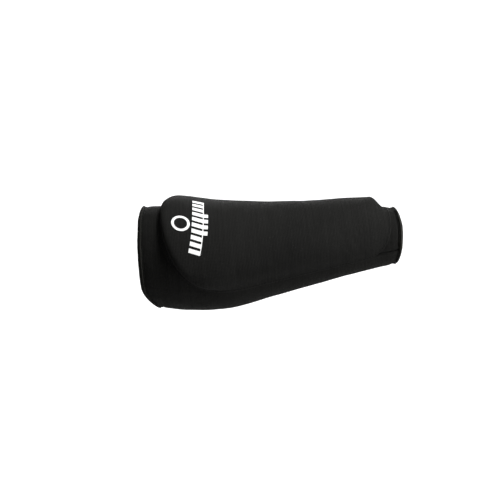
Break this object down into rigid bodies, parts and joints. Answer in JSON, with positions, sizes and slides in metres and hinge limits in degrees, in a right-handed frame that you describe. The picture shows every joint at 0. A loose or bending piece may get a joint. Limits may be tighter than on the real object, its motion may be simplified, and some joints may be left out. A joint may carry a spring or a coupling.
{
  "type": "forearm guard",
  "caption": "Slip-on stretch-knit sleeve for the forearm with a thick foam pad sewn on its outer side and an elasticated hem at each end.",
  "frame": {"origin": "on the forearm axis at the middle of the elbow opening", "axes": "+X along the forearm from the elbow opening to the wrist opening, +Z the top of the forearm, -Y the side that the pad's middle leans towards"},
  "size_m": [0.2726, 0.1217, 0.1234],
  "materials": {
    "sleeve_knit": "matte rib knit, black",
    "panel_knit": "matte fine knit, black",
    "hem_knit": "folded knit, black",
    "sewing_thread": "spun polyester thread, black",
    "elastic": "braided elastic, black",
    "foam": "closed-cell foam, dark grey",
    "print_white": "heat-transfer print film, white",
    "label_white": "woven satin label, off-white, blank"
  },
  "bodies": {
    "root": {"base_sleeve": "sleeve_knit", "pad_cover": "panel_knit", "foam_pad": "foam", "pad_edge_thread": "sewing_thread", "elbow_hem": "hem_knit", "elbow_elastic": "elastic", "elbow_hem_thread": "sewing_thread", "wrist_hem": "hem_knit", "wrist_elastic": "elastic", "wrist_hem_thread": "sewing_thread", "closing_seam": "sleeve_knit", "closing_seam_thread": "sewing_thread", "care_label": "label_white", "print_ring": "print_white", "print_strokes": "print_white"}
  },
  "joints": []
}
